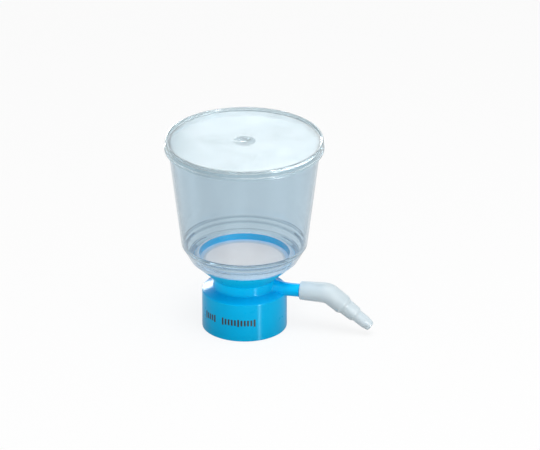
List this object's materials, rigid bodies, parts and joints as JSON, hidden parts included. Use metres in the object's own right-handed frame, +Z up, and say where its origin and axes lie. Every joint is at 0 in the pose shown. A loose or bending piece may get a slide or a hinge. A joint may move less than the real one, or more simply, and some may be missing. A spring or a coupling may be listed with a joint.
{
  "type": "bottle-top vacuum filtration unit",
  "caption": "Vacuum filtration unit: clear funnel and lid over a membrane, on a blue neck adapter that screws onto a bottle, with a swivelling angled hose connector.",
  "frame": {"origin": "on the axis, at the collar's bottom face", "axes": "+Z up the axis, through the funnel to the lid; +X out along the side port; +Y completes the frame"},
  "size_m": [0.1343, 0.1014, 0.129],
  "materials": {
    "clear_lid": "clear, polished",
    "clear_funnel": "clear, polished",
    "membrane": "matt, slightly pink-white",
    "blue_plastic": "satin, sky blue",
    "soft_seal": "matt, off-white",
    "milky_plastic": "milky, waxy",
    "fibre": "fibrous, white"
  },
  "bodies": {
    "unit": {"funnel": "clear_funnel", "membrane": "membrane", "neck_adapter": "blue_plastic", "neck_gasket": "soft_seal", "port_plug": "fibre"},
    "lid_body": {"lid": "clear_lid"},
    "connector": {"hose_connector": "milky_plastic"}
  },
  "joints": [
    {"name": "lid_lift", "type": "slide", "parent": "unit", "child": "lid_body", "axis": [0, 0, 1], "range_m": [0, 0.04]},
    {"name": "connector_swivel", "type": "hinge", "parent": "unit", "child": "connector", "pos_m": [0.0413, 0, 0.027], "axis": [1, 0, 0], "continuous": true}
  ]
}
